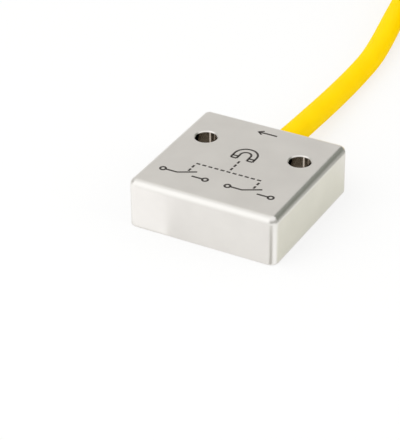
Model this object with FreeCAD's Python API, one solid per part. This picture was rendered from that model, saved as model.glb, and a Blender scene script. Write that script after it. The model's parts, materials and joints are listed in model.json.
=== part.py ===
"""Magnetic field sensor for guard doors: a square stainless housing with two screw holes and a fixed cable.

Frame: origin at the middle of the base, +Z up, +Y towards the cable, -Y is the sensing side. Millimetres.
"""

import FreeCAD, Part

import math
import os

from FreeCAD import Vector

# Housing, machined from stainless bar and open below
housing_width = 40.0
housing_depth = 40.0
housing_height = 13.0
upright_edge_radius = 2.0
top_edge_radius = 1.8
bottom_edge_break = 0.2
side_wall = 1.8
top_wall = 2.0
pocket_corner_radius = 2.0
smallest_corner_radius = 0.3

# Two screw holes, each through a boss inside the housing, behind the wide part of the capsule
hole_spacing_share = 0.65
hole_diameter = 5.5
hole_edge_break = 0.3
boss_wall = 1.5

# Slotted port for the cable in the back wall
port_width = 13.0
port_clearance = 0.95
port_edge_break = 0.2

# Plate that closes the housing from below, flush with its rim
base_plate_thickness = 1.0
base_rim = 1.0
plate_clearance = 0.05

# Plastic capsule that holds the electronics in the housing
capsule_wall = 1.0
capsule_side_clearance = 0.3
capsule_top_clearance = 0.1
capsule_boss_clearance = 0.45
gap_behind_port = 2.0

# Seal of the cable in the capsule, and its crimped ring. The ring's room gives the cable its size
seal_sleeve_wall = 0.55
seal_flange_reach = 1.25
seal_flange_thickness = 0.9
seal_edge_radius = 0.3
crimp_ring_length = 3.5
crimp_ring_wall = 0.6
crimp_ring_clearance = 0.25
crimp_ring_set_back = 0.5
crimp_ring_edge_break = 0.2
sheath_share_of_neck = 0.504

# Circuit board, which lies above the base plate
board_thickness = 1.0
board_standoff = 1.0
board_clearance = 0.3
board_to_sheath = 2.5
pad_from_tongue_end = 2.5

# Reed switches, side by side across the sensing side. The shares give their thickness from their pitch
reed_count = 4
reed_pitch_share = 0.09
reed_glass_share = 0.55
reed_wall_share = 0.15
reed_end_share = 0.35
reed_lead_share = 0.25
blade_thickness_share = 0.1
blade_width_share = 0.45
blade_gap_share = 0.05
reed_glass_length = 14.0
reed_seal_length = 2.0
reed_lead_reach = 2.5
reed_lead_bend_radius = 1.0
blade_overlap = 1.2
lead_below_board = 0.6

# Moulded comb that keeps the reed switches in line
comb_rib_spacing = 9.0
comb_rib_thickness = 1.5
comb_bar_thickness = 1.2
comb_end_clearance = 0.2

# Chip parts in one row behind the reed switches: length across, depth, height
resistor_count = 3
resistor_size = (3.2, 1.6, 0.6)
suppressor_size = (4.6, 2.7, 2.1)
chip_row_margin = 0.4

# Cores of the cable
core_names = ("brown", "white", "blue", "black")
core_diameter = 1.3
core_off_centre = 0.85
conductor_diameter = 0.5
pads_share_of_tongue = 0.64
pad_solder_share = 0.3
stripped_length = 0.7
solder_radius = 0.9
solder_height = 0.5
solder_tip_wall = 0.1

# Free cable: its route to the hank, chosen by hand. Each point is as far across and out of the back wall,
# then the share left of the drop from the port to the floor, then the share of the lift on to the ties.
# It leaves the port level, and its last run gives the hank its direction
tie_thickness = 1.0
lead_level_run = 3.0
lead_points = (
    (0.0, 11.5, 0.81, 0.0),
    (-0.15, 21.0, 0.59, 0.0),
    (-0.4, 31.0, 0.32, 0.0),
    (-0.8, 41.5, 0.07, 0.0),
    (-1.0, 52.0, 0.0, 0.0),
    (-1.5, 62.0, 0.0, 0.0),
    (-3.0, 72.0, 0.0, 0.2),
    (-4.7, 82.3, 0.0, 1.0),
    (-6.6, 92.5, 0.0, 1.0),
)
arc_reach = 0.45

# Hank that holds the rest of the cable: an oval, two turns side by side and two high
hank_entry = 22.0
hank_hole_radius = 15.25
hank_gap = 0.15
hank_straight = 40.0
hank_edge_flat = 0.06

# Loose end inside the hank: shares of the fold's radius and of the straight length, and of the lift
tail_points = (
    (1.0, 1.0, 1.0),
    (0.951, 0.7625, 1.0),
    (0.787, 0.525, 0.0),
    (0.525, 0.3125, 0.0),
)

# Cable ties round the hank's two long sides, clear of the loose end
left_tie_place = 32.0
right_tie_place = 6.0
tie_width = 2.6
tie_clearance = 0.05
tie_head_length = 4.6
tie_head_width = 4.4
tie_head_height = 2.6

# Loose cores beyond the end of the sheath, with their ferrules
loose_core_spread = (-5.4, -1.8, 1.8, 5.4)
loose_core_length = 17.0
loose_core_straight = 4.0
loose_core_bend = 10.5
loose_core_bend_spread = 0.75
collar_length = 2.4
collar_taper_length = 1.6
collar_diameter = 2.3
collar_tip_wall = 0.2
sleeve_length = 5.0
sleeve_diameter = 1.1

# Places that follow from the sizes above
half_width = housing_width / 2
half_depth = housing_depth / 2
ceiling = housing_height - top_wall
pocket_half_width = half_width - side_wall
pocket_back = half_depth - side_wall
cable_height = (base_plate_thickness + ceiling) / 2

capsule_front = -pocket_back + capsule_side_clearance
inside_front = capsule_front + capsule_wall
reed_pitch = housing_depth * reed_pitch_share
reed_places = [inside_front + reed_pitch * (k + 0.5) for k in range(reed_count)]
reed_zone_back = inside_front + reed_pitch * reed_count
chip_row_y = reed_zone_back + chip_row_margin + suppressor_size[1] / 2
board_back = chip_row_y + suppressor_size[1] / 2 + chip_row_margin
inside_shoulder = board_back + board_clearance
capsule_shoulder = inside_shoulder + capsule_wall

boss_radius = hole_diameter / 2 + boss_wall
hole_x = housing_width * hole_spacing_share / 2
hole_y = capsule_shoulder + capsule_boss_clearance + boss_radius
capsule_half_width = pocket_half_width - capsule_side_clearance
capsule_neck_half_width = hole_x - boss_radius - capsule_boss_clearance
capsule_back = pocket_back - gap_behind_port
capsule_roof = ceiling - capsule_top_clearance
inside_half_width = capsule_half_width - capsule_wall
inside_neck_half_width = capsule_neck_half_width - capsule_wall
inside_back = capsule_back - capsule_wall
inside_top = capsule_roof - capsule_wall
inside_bottom = base_plate_thickness

cable_diameter = 2 * (inside_top - cable_height - crimp_ring_clearance - crimp_ring_wall)
port_height = cable_diameter + 2 * port_clearance
sheath_end = inside_back - sheath_share_of_neck * (inside_back - inside_shoulder)
ring_back = inside_back - crimp_ring_set_back
cable_start = capsule_back + seal_flange_thickness

board_bottom = inside_bottom + board_standoff
board_top = board_bottom + board_thickness
board_half_width = inside_half_width - board_clearance
board_front = inside_front + board_clearance
tongue_half_width = inside_neck_half_width - board_clearance
tongue_end = sheath_end - board_to_sheath
pad_y = tongue_end - pad_from_tongue_end
pad_pitch = 2 * tongue_half_width * pads_share_of_tongue / (len(core_names) - 1)

reed_height = (board_top + inside_top) / 2
reed_glass_diameter = reed_pitch * reed_glass_share
reed_lead_diameter = reed_glass_diameter * reed_lead_share
lead_bend_x = reed_glass_length / 2 + reed_lead_reach
lead_end = board_bottom - lead_below_board

hank_fold_radius = hank_hole_radius + cable_diameter / 2
hank_pitch = cable_diameter + hank_gap
hank_outer_radius = hank_fold_radius + hank_pitch
hank_bottom = tie_thickness
hank_height = cable_diameter + hank_pitch

tiny = 1e-6
X = Vector(1, 0, 0)
Y = Vector(0, 1, 0)
Z = Vector(0, 0, 1)


def block(x0, x1, y0, y1, z0, z1):
    """A plain rectangular block between two corners."""
    return Part.makeBox(x1 - x0, y1 - y0, z1 - z0, Vector(x0, y0, z0))


def rounded_block(x0, x1, y0, y1, z0, z1, radius):
    """A block whose four upright edges are rounded."""
    body = block(x0, x1, y0, y1, z0, z1)
    upright = [e for e in body.Edges if runs_along(e, Z)]
    return body.makeFillet(max(radius, smallest_corner_radius), upright)


def runs_along(edge, direction):
    """Whether a straight edge runs along a direction."""
    return abs(edge.tangentAt(edge.FirstParameter).dot(direction)) > 0.99


def rod(start, direction, length, diameter):
    """A round bar from a point along a direction."""
    return Part.makeCylinder(diameter / 2, length, start, direction)


def slot_along_y(width, height, y0, y1, z):
    """A round-ended slot across x, cut along y."""
    radius = height / 2
    reach = width / 2 - radius
    ends = [rod(Vector(side * reach, y0, z), Y, y1 - y0, height) for side in (-1, 1)]
    return block(-reach, reach, y0, y1, z - radius, z + radius).fuse(ends).removeSplitter()


def arc_path(points):
    """Straight runs joined by tangent arcs as large as the runs allow. Returns the wire and the radii."""
    edges, radii = [], []
    last = points[0]
    for before, corner, after in zip(points, points[1:], points[2:]):
        run_in, run_out = corner - before, after - corner
        reach = arc_reach * min(run_in.Length, run_out.Length)
        turn = run_in.getAngle(run_out)
        run_in.normalize()
        run_out.normalize()
        radius = reach / math.tan(turn / 2)
        start, end = corner - run_in * reach, corner + run_out * reach
        inward = run_out - run_in
        inward.normalize()
        middle = corner + inward * (radius / math.cos(turn / 2) - radius)
        edges += [Part.LineSegment(last, start).toShape(), Part.Arc(start, middle, end).toShape()]
        radii.append(radius)
        last = end
    edges.append(Part.LineSegment(last, points[-1]).toShape())
    return Part.Wire(edges), radii


def tube_along(points, diameter):
    """A solid round cord along a route of points. Returns it with its length and tightest radius."""
    wire, radii = arc_path(points)
    ring = Part.Wire(Part.makeCircle(diameter / 2, points[0], points[1] - points[0]))
    solid = wire.makePipe(Part.Face(ring))
    share = solid.Volume / (math.pi * diameter**2 / 4 * wire.Length)
    if round(share, 1) != 1:
        raise ValueError(f"the tube has {share:.2f} of its volume")
    return solid, wire.Length, min(radii)


def housing():
    """One-piece steel shell: rounded outside, pocket below, two bosses and the cable port."""
    body = rounded_block(
        -half_width, half_width, -half_depth, half_depth, 0, housing_height, upright_edge_radius
    )
    body = body.makeFillet(top_edge_radius, edges_at_level(body, housing_height))
    body = body.makeChamfer(bottom_edge_break, edges_at_level(body, 0))
    pocket = rounded_block(
        -pocket_half_width, pocket_half_width, -pocket_back, pocket_back, 0, ceiling, pocket_corner_radius
    )
    body = body.cut(pocket)
    body = body.cut(plate_outline(0))
    for side in (-1, 1):
        body = body.fuse(boss(side))
    body = body.cut(slot_along_y(port_width, port_height, pocket_back, half_depth, cable_height))
    body = body.removeSplitter()
    port_edges = [e for e in body.Edges if on_port_mouth(e)]
    body = body.makeChamfer(port_edge_break, port_edges)
    for side in (-1, 1):
        body = body.cut(screw_hole(side))
    return body.removeSplitter()


def edges_at_level(body, level):
    """The edges that lie whole at one height."""
    return [e for e in body.Edges if all(abs(v.Z - level) < tiny for v in e.Vertexes)]


def on_port_mouth(edge):
    """Whether an edge lies on the port's outer mouth."""
    on_wall = all(abs(v.Y - half_depth) < tiny for v in edge.Vertexes)
    across = all(abs(v.X) < port_width / 2 + tiny for v in edge.Vertexes)
    upright = all(abs(v.Z - cable_height) < port_height / 2 + tiny for v in edge.Vertexes)
    return on_wall and across and upright


def boss(side):
    """Screw boss from the ceiling to the base, webbed to the side wall above the plate."""
    post = rod(Vector(side * hole_x, hole_y, 0), Z, ceiling, 2 * boss_radius)
    near, far = sorted((side * hole_x, side * (pocket_half_width + side_wall / 2)))
    web = block(near, far, hole_y - boss_radius, hole_y + boss_radius, inside_bottom, ceiling)
    return post.fuse(web)


def screw_hole(side):
    """Screw hole with its edge broken at the top and at the foot."""
    centre = Vector(side * hole_x, hole_y, 0)
    hole = rod(centre, Z, housing_height, hole_diameter)
    wide, narrow = hole_diameter / 2 + hole_edge_break, hole_diameter / 2
    foot = Part.makeCone(wide, narrow, hole_edge_break, centre, Z)
    mouth = Part.makeCone(narrow, wide, hole_edge_break, centre + Z * (housing_height - hole_edge_break), Z)
    return hole.fuse([foot, mouth])


def plate_outline(clearance):
    """The rebate in the housing's rim, or the plate that fits it with a clearance all round."""
    edge = base_rim + clearance
    return rounded_block(
        -half_width + edge,
        half_width - edge,
        -half_depth + edge,
        half_depth - edge,
        0,
        base_plate_thickness,
        upright_edge_radius - base_rim,
    )


def base_plate():
    """Closing plate, cut out round both bosses."""
    plate = plate_outline(plate_clearance)
    for side in (-1, 1):
        hole_width = 2 * (boss_radius + plate_clearance)
        plate = plate.cut(rod(Vector(side * hole_x, hole_y, 0), Z, base_plate_thickness, hole_width))
    return plate


def capsule_form(half, front, shoulder, neck_half, back, z0, z1, radius):
    """The capsule's stepped plan: a wide part at the sensing side and a neck between the bosses."""
    wide = rounded_block(-half, half, front, shoulder, z0, z1, radius)
    neck = block(-neck_half, neck_half, (front + shoulder) / 2, back, z0, z1)
    return wide.fuse(neck).removeSplitter()


def capsule_inside():
    """The space in the capsule, from the base plate to its roof."""
    radius = pocket_corner_radius - capsule_side_clearance - capsule_wall
    return capsule_form(
        inside_half_width,
        inside_front,
        inside_shoulder,
        inside_neck_half_width,
        inside_back,
        inside_bottom,
        inside_top,
        radius,
    )


def capsule():
    """Moulded capsule, open below, with a round hole for the cable's seal."""
    shell = capsule_form(
        capsule_half_width,
        capsule_front,
        capsule_shoulder,
        capsule_neck_half_width,
        capsule_back,
        inside_bottom,
        capsule_roof,
        pocket_corner_radius - capsule_side_clearance,
    )
    shell = shell.cut(capsule_inside())
    return shell.cut(rod(cable_axis(inside_back), Y, capsule_wall, sleeve_outside()))


def cable_axis(y):
    """The point on the cable's line where it passes through the port."""
    return Vector(0, y, cable_height)


def sleeve_outside():
    """Outer diameter of the seal's sleeve."""
    return cable_diameter + 2 * seal_sleeve_wall


def resting(drop, lift):
    """Height of the cable's middle, from the shares of its drop to the floor and its lift on to the ties."""
    on_floor = cable_diameter / 2
    return on_floor + drop * (cable_height - on_floor) + lift * tie_thickness


def cable_seal():
    """Rubber seal: a sleeve in the capsule's wall and a flange outside it."""
    sleeve = rod(cable_axis(inside_back), Y, capsule_wall, sleeve_outside())
    flange_width = cable_diameter + 2 * seal_flange_reach
    flange = rod(cable_axis(capsule_back), Y, seal_flange_thickness, flange_width)
    rounded = [e for e in flange.Edges if all(abs(v.Y - cable_start) < tiny for v in e.Vertexes)]
    flange = flange.makeFillet(seal_edge_radius, rounded)
    bore = rod(cable_axis(inside_back), Y, cable_start - inside_back, cable_diameter)
    return sleeve.fuse(flange).cut(bore).removeSplitter()


def cable_inner_end():
    """The cable's sheath from its stripped end in the capsule to the seal's outer face."""
    return rod(cable_axis(sheath_end), Y, cable_start - sheath_end, cable_diameter)


def crimp_ring():
    """Ring crimped on the sheath behind the capsule's wall, which takes a pull on the cable."""
    front = cable_axis(ring_back - crimp_ring_length)
    outside = cable_diameter + 2 * crimp_ring_wall
    ring = rod(front, Y, crimp_ring_length, outside)
    ring = ring.makeChamfer(crimp_ring_edge_break, [e for e in ring.Edges if e.Closed])
    return ring.cut(rod(front, Y, crimp_ring_length, cable_diameter))


def core_places():
    """For each core: how far across and up it lies in the sheath, and the x of its pad."""
    seats = ((-1, -1), (-1, 1), (1, 1), (1, -1))
    middle = (len(core_names) - 1) / 2
    return [
        (core_off_centre * across, core_off_centre * up, (k - middle) * pad_pitch)
        for k, (across, up) in enumerate(seats)
    ]


def inner_core(k):
    """One insulated core from the sheath to just above its pad."""
    x, z, pad_x = core_places()[k]
    points = (
        (x, sheath_end, cable_height + z),
        (x, sheath_end - core_diameter, cable_height + z),
        (pad_x, pad_y, cable_height),
        (pad_x, pad_y, board_top + stripped_length),
    )
    return tube_along([Vector(*point) for point in points], core_diameter)[0]


def inner_conductor(k):
    """The stripped strands of one core, through the board."""
    foot = Vector(core_places()[k][2], pad_y, lead_end)
    return rod(foot, Z, board_top + stripped_length - lead_end, conductor_diameter)


def reed_outline(y):
    """A reed switch's glass as one full form, round at both ends."""
    start = Vector(-reed_glass_length / 2, y, reed_height)
    glass = rod(start, X, reed_glass_length, reed_glass_diameter)
    return glass.makeFillet(reed_glass_diameter * reed_end_share, [e for e in glass.Edges if e.Closed])


def reed_glass(y):
    """Glass tube, hollow in the middle and sealed round a lead at each end."""
    inside_length = reed_glass_length - 2 * reed_seal_length
    inside_diameter = reed_glass_diameter * (1 - 2 * reed_wall_share)
    cavity = rod(Vector(-inside_length / 2, y, reed_height), X, inside_length, inside_diameter)
    passage = rod(
        Vector(-reed_glass_length / 2, y, reed_height), X, reed_glass_length, reed_lead_diameter
    )
    return reed_outline(y).cut(cavity.fuse(passage))


def reed_blade(y, side):
    """One springy blade: flat in the glass, round outside it and bent down through the board."""
    root = Vector(side * (reed_glass_length / 2 - reed_seal_length), y, reed_height)
    corner = Vector(side * lead_bend_x, y, reed_height)
    start = corner - X * side * reed_lead_bend_radius
    end = corner - Z * reed_lead_bend_radius
    turn = math.pi / 4
    middle = start + (X * side * math.sin(turn) - Z * (1 - math.cos(turn))) * reed_lead_bend_radius
    foot = Vector(corner.x, y, lead_end)
    edges = [Part.LineSegment(root, start), Part.Arc(start, middle, end), Part.LineSegment(end, foot)]
    wire = Part.Wire([edge.toShape() for edge in edges])
    ring = Part.Wire(Part.makeCircle(reed_lead_diameter / 2, root, X * side))
    lead = wire.makePipe(Part.Face(ring))
    thickness = reed_glass_diameter * blade_thickness_share
    gap = reed_glass_diameter * blade_gap_share
    reach = reed_glass_diameter * blade_width_share / 2
    bottom = reed_height + side * (gap + thickness) / 2 - thickness / 2
    x0, x1 = sorted((-side * blade_overlap / 2, root.x))
    flat = block(x0, x1, y - reach, y + reach, bottom, bottom + thickness)
    return lead.fuse(flat).removeSplitter()


def comb():
    """Moulded comb on the board: a bar under the roof and two ribs that straddle the reed switches."""
    front, back = inside_front + comb_end_clearance, reed_zone_back
    outer = (comb_rib_spacing + comb_rib_thickness) / 2
    form = block(-outer, outer, front, back, inside_top - comb_bar_thickness, inside_top)
    for side in (-1, 1):
        left = side * comb_rib_spacing / 2 - comb_rib_thickness / 2
        form = form.fuse(block(left, left + comb_rib_thickness, front, back, board_top, inside_top))
    radius = reed_glass_diameter / 2
    for y in reed_places:
        form = form.cut(block(-outer, outer, y - radius, y + radius, board_top, reed_height))
        form = form.cut(rod(Vector(-outer, y, reed_height), X, 2 * outer, reed_glass_diameter))
    return form.removeSplitter()


def lead_places():
    """For each lead through the board: its x and y, how thick it is and the radius of its solder."""
    ends = [(side * lead_bend_x, y) for y in reed_places for side in (-1, 1)]
    reeds = [(x, y, reed_lead_diameter, solder_radius) for x, y in ends]
    pad_radius = pad_pitch * pad_solder_share
    cores = [(pad_x, pad_y, conductor_diameter, pad_radius) for x, z, pad_x in core_places()]
    return reeds + cores


def circuit_board():
    """Board with a tongue between the bosses and a hole for each lead."""
    body = block(-board_half_width, board_half_width, board_front, board_back, board_bottom, board_top)
    tongue = block(-tongue_half_width, tongue_half_width, board_front, tongue_end, board_bottom, board_top)
    body = body.fuse(tongue).removeSplitter()
    for x, y, diameter, radius in lead_places():
        body = body.cut(rod(Vector(x, y, board_bottom), Z, board_thickness, diameter))
    return body


def solder_joints():
    """A cone of solder under the board round each lead."""
    joints = []
    for x, y, diameter, radius in lead_places():
        foot = Vector(x, y, board_bottom - solder_height)
        cone = Part.makeCone(diameter / 2 + solder_tip_wall, radius, solder_height, foot, Z)
        joints.append(cone.cut(rod(foot, Z, solder_height, diameter)))
    return Part.makeCompound(joints)


def chip(size, x):
    """A chip part on the board, in the row behind the reed switches."""
    length, depth, height = size
    return Part.makeBox(length, depth, height, Vector(x - length / 2, chip_row_y - depth / 2, board_top))


def chip_places():
    """Even places for the resistors and then the suppressor, across the board."""
    count = resistor_count + 1
    pitch = 2 * board_half_width / count
    return [-board_half_width + pitch * (k + 0.5) for k in range(count)]


def potting_resin(embedded):
    """Resin cast in the capsule, which fills all that the other pieces leave."""
    resin = capsule_inside()
    for piece in embedded:
        resin = resin.cut(piece)
    solids = sorted(resin.Solids, key=lambda s: s.Volume)
    return solids[-1]


def lead_route():
    """Route of the cable from the seal to the hank."""
    level = Vector(0, half_depth + lead_level_run, cable_height)
    outside = [Vector(x, half_depth + out, resting(drop, lift)) for x, out, drop, lift in lead_points]
    return [cable_axis(cable_start), level] + outside


def hank_directions():
    """The hank's two directions on the floor: along its entry, and to the right of that."""
    before, last = lead_route()[-2:]
    along = last - before
    along.z = 0
    along.normalize()
    return along, along.cross(Z)


def in_hank(x, y, z):
    """A point that is given across and along the hank, from the middle of its near end."""
    along, across = hank_directions()
    start = lead_route()[-1] + along * hank_entry + across * hank_outer_radius
    start.z = 0
    return start + across * x + along * y + Z * z


def place_in_hank(shape):
    """Moves a shape that was made across X and along Y to its place in the hank."""
    along = hank_directions()[0]
    shape.rotate(Vector(0, 0, 0), Z, math.degrees(math.atan2(along.y, along.x)) - 90)
    shape.translate(in_hank(0, 0, 0))
    return shape


def oval(radius, z0, z1):
    """An upright oval block with round ends, as long as the hank."""
    ends = [rod(Vector(0, y, z0), Z, z1 - z0, 2 * radius) for y in (0, hank_straight)]
    return block(-radius, radius, 0, hank_straight, z0, z1).fuse(ends).removeSplitter()


def cable_hank():
    """Outer form of the wound cable, with its straight entry and the loose end inside it."""
    radius = cable_diameter / 2
    top = hank_bottom + hank_height
    ring = oval(hank_outer_radius + radius, hank_bottom, top)
    ring = ring.cut(oval(hank_fold_radius - radius, hank_bottom, top))
    level = edges_at_level(ring, hank_bottom) + edges_at_level(ring, top)
    ring = place_in_hank(ring.makeFillet(radius - hank_edge_flat, level))
    entry = rod(lead_route()[-1], hank_directions()[0], hank_entry, cable_diameter)
    return ring.fuse([entry, tail()[0]]).removeSplitter()


def tail_route():
    """Route of the cable's last stretch, from the inner turn to the end of the sheath."""
    return [
        in_hank(hank_fold_radius * across, hank_straight * along, resting(0, lift))
        for across, along, lift in tail_points
    ]


def tail():
    """The cable's last stretch, with its length and tightest radius."""
    return tube_along(tail_route(), cable_diameter)


def wound_length():
    """Length of three turns and a half: two outer ones, then the inner ones."""
    outer = 2 * hank_straight + 2 * math.pi * hank_outer_radius
    inner = 2 * hank_straight + 2 * math.pi * hank_fold_radius
    return 2 * outer + 1.5 * inner


def tie_band(grown):
    """A bar along Y of the bundle's section on the hank's right side, grown all round."""
    radius = cable_diameter / 2
    body = block(
        hank_fold_radius - radius - grown,
        hank_outer_radius + radius + grown,
        -tie_width / 2,
        tie_width / 2,
        hank_bottom - grown,
        hank_bottom + hank_height + grown,
    )
    return body.makeFillet(radius + grown, [e for e in body.Edges if runs_along(e, Y)])


def cable_ties():
    """A strap round both layers on each long side of the hank, with its head on top."""
    strap = tie_band(tie_thickness).cut(tie_band(tie_clearance))
    middle = (hank_fold_radius + hank_outer_radius) / 2
    top = hank_bottom + hank_height + tie_clearance
    head = block(
        middle - tie_head_length / 2,
        middle + tie_head_length / 2,
        -tie_head_width / 2,
        tie_head_width / 2,
        top,
        top + tie_head_height,
    )
    right = strap.fuse(head).removeSplitter()
    left = right.mirror(Vector(0, 0, 0), X)
    right.translate(Y * right_tie_place)
    left.translate(Y * left_tie_place)
    return Part.makeCompound([place_in_hank(right), place_in_hank(left)])


def loose_core_route(k):
    """Route of one loose core from the end of the sheath to its ferrule on the floor."""
    before, end = tail_route()[-2:]
    on = end - before
    on.z = 0
    on.normalize()
    aside = on.cross(Z)
    x, up, pad_x = core_places()[k]
    reach = loose_core_spread[k]
    rest = collar_diameter / 2
    start = end + aside * x + Z * up
    landing = end + Z * (rest - end.z)
    return [
        start,
        start + on * loose_core_straight,
        landing + on * loose_core_bend + aside * reach * loose_core_bend_spread,
        landing + on * loose_core_length + aside * reach,
    ]


def ferrule_line(k):
    """Where a ferrule starts and which way it points: on from the end of its core, level."""
    before, start = loose_core_route(k)[-2:]
    direction = start - before
    direction.z = 0
    direction.normalize()
    return start, direction


def ferrule_collar(k):
    """Plastic collar of a ferrule: a short sleeve that tapers to the metal tube."""
    start, direction = ferrule_line(k)
    body = rod(start, direction, collar_length, collar_diameter)
    tip = sleeve_diameter / 2 + collar_tip_wall
    middle = start + direction * collar_length
    taper = Part.makeCone(collar_diameter / 2, tip, collar_taper_length, middle, direction)
    return body.fuse(taper).removeSplitter()


def ferrule_sleeve(k):
    """Tinned metal tube of a ferrule, crimped on the strands."""
    start, direction = ferrule_line(k)
    collar = collar_length + collar_taper_length
    return rod(start + direction * collar, direction, sleeve_length, sleeve_diameter)


def build():
    """All pieces, by node name."""
    nodes = {
        "housing": housing(),
        "base_plate": base_plate(),
        "capsule": capsule(),
        "cable_seal": cable_seal(),
        "cable_inner_end": cable_inner_end(),
        "crimp_ring": crimp_ring(),
        "circuit_board": circuit_board(),
        "reed_comb": comb(),
        "solder_joints": solder_joints(),
    }
    for k, y in enumerate(reed_places):
        nodes[f"reed_{k + 1}_glass"] = reed_glass(y)
        nodes[f"reed_{k + 1}_left_blade"] = reed_blade(y, -1)
        nodes[f"reed_{k + 1}_right_blade"] = reed_blade(y, 1)
    places = chip_places()
    for k in range(resistor_count):
        nodes[f"resistor_{k + 1}"] = chip(resistor_size, places[k])
    nodes["surge_suppressor"] = chip(suppressor_size, places[-1])
    for k, name in enumerate(core_names):
        nodes[f"inner_core_{name}"] = inner_core(k)
        nodes[f"inner_strands_{name}"] = inner_conductor(k)
    outside = ("housing", "base_plate", "capsule")
    embedded = [shape for name, shape in nodes.items() if name not in outside]
    nodes["potting_resin"] = potting_resin(embedded + [reed_outline(y) for y in reed_places])

    lead, lead_length, lead_radius = tube_along(lead_route(), cable_diameter)
    tail_length, tail_radius = tail()[1:]
    nodes["cable_lead"] = lead
    nodes["cable_hank"] = cable_hank()
    nodes["cable_ties"] = cable_ties()
    for k, name in enumerate(core_names):
        core, core_length, core_radius = tube_along(loose_core_route(k), core_diameter)
        nodes[f"loose_core_{name}"] = core
        nodes[f"ferrule_collar_{name}"] = ferrule_collar(k)
        nodes[f"ferrule_sleeve_{name}"] = ferrule_sleeve(k)
        print(f"loose core {name}: {core_length:.1f}, tightest radius {core_radius:.1f}")

    sheath = lead_length + hank_entry + wound_length() + tail_length
    print(f"lead {lead_length:.1f}, tightest radius {lead_radius:.1f}")
    print(f"tail {tail_length:.1f}, tightest radius {tail_radius:.1f}; whole sheath {sheath:.1f}")
    return nodes


def main():
    """Builds every piece and writes one STEP file for each node."""
    os.makedirs("parts", exist_ok=True)
    for name, shape in build().items():
        if not shape.isValid() or not shape.Solids:
            raise ValueError(f"{name} is not a valid solid")
        shape.exportStep(f"parts/{name}.step")


main()
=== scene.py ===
"""Looks of a magnetic field sensor: a square stainless housing with its cable port, cable and loose cores.

Metres, in the CAD's frame: +Z up, +Y towards the cable, -Y is the sensing side.
"""

import json
import math

import bmesh
import bpy
from mathutils import Matrix, Vector

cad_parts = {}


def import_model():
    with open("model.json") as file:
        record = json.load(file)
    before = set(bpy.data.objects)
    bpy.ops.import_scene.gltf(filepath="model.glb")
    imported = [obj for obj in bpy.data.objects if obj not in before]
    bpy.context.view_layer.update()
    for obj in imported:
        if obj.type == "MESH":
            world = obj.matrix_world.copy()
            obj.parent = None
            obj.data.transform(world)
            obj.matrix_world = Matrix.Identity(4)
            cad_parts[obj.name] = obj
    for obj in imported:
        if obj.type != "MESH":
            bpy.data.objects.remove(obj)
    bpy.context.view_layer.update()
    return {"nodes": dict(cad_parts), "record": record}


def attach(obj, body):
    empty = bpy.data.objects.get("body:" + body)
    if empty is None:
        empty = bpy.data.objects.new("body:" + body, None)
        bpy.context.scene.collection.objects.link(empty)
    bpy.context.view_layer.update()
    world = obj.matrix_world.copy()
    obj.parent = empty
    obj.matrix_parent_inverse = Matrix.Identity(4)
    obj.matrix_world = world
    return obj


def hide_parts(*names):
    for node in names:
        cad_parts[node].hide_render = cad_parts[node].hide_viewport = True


MM = 0.001
UP = Vector((0, 0, 1))

# Viewpoint of the photograph, in degrees and metres, and the lens in millimetres
VIEW_AZIMUTH = 28.98256
VIEW_ELEVATION = 32.24506
VIEW_ROLL = -0.54057
VIEW_PLACE = (0.190864, -0.364609, 0.255831)
VIEW_LENS = 160.2

# Housing: its top, where its flat faces end, and how far past that the finish of the rounded edges fades in
HOUSING_TOP = 0.013
EDGE_START = (0.0182, 0.0182, 0.0112)
EDGE_FADE = (1.9 * MM, 2.5 * MM)

# Screw holes: their axes, and how far from an axis the bore's finish and painted shade fade out
HOLE_X = 0.013
HOLE_Y = 0.007
BORE_FADE = (2.78 * MM, 2.84 * MM)

# Cable: the solid's diameter, the photograph's, and the height of its middle on the floor and on the ties
CABLE_DRAWN = 0.00624
CABLE_EXIT = (0, 0.0171, 0.006)
ON_FLOOR = 0.00312
ON_TIES = 0.00409

# Hank: distance between turns, radius of the outer and inner turn, length of a run, and way in from the lead
HANK_PITCH = 0.00625
HANK_OUTER = 0.02455
HANK_INNER = 0.0183
HANK_STRAIGHT = 0.04
HANK_ENTRY = 0.022

# Places on the winding, in turns: the step to the inner turn, the climb to the upper layer, and the way down
STEP_INWARD = (1.75, 1.917)
CLIMB = (0.8125, 0.943)
DESCENT = (2.619, 2.759)

# Loose cores: seat in the sheath, way aside, diameter, and how far out each runs straight, lands and ends
CORE_NAMES = ("brown", "white", "blue", "black")
CORE_SEATS = ((-1, -1), (-1, 1), (1, 1), (1, -1))
CORE_SPREAD = (-0.0054, -0.0018, 0.0018, 0.0054)
CORE_DIAMETER = 0.0013
CORE_OFF_CENTRE = 0.00085
CORE_STRAIGHT = 0.004
CORE_LANDING = 0.0105
CORE_REACH = 0.017
COLLAR_DIAMETER = 0.0023

# Route of the cable from the port to the hank
LEAD = (
    CABLE_EXIT,
    (0, 0.023, 0.006),
    (0, 0.0315, 0.00544),
    (-0.00015, 0.041, 0.00479),
    (-0.0004, 0.051, 0.00399),
    (-0.0008, 0.0615, 0.00326),
    (-0.001, 0.072, ON_FLOOR),
    (-0.0015, 0.082, ON_FLOOR),
    (-0.003, 0.092, 0.00325),
    (-0.0047, 0.1023, ON_TIES),
    (-0.0066, 0.1125, ON_TIES),
)

# Loose end inside the hank, across and along it
TAIL = (
    (0.0174, 0.0305, ON_TIES),
    (0.0144, 0.021, ON_FLOOR),
    (0.0096, 0.0125, ON_FLOOR),
)

# Control points on each round end of the hank, and the mean bend between two of them
FOLD_POINTS = 6
FOLD_STEP = math.pi / FOLD_POINTS

# Underside: the joint between the housing's rim and its plate, and the radius of the seam round each boss
PLATE_REACH = 0.018975
PLATE_CORNER = 0.001
BOSS_SEAM = 0.004275

# Welded seams: distance between the scales, their width and their height
SEAM_SIZES = {"Scale pitch": 0.3 * MM, "Seam width": 0.75 * MM, "Seam height": 0.06 * MM}

# Marked lines on the top: their width and height
MARK_SIZES = {"Line width": 0.55 * MM, "Line height": 0.03 * MM}

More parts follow.
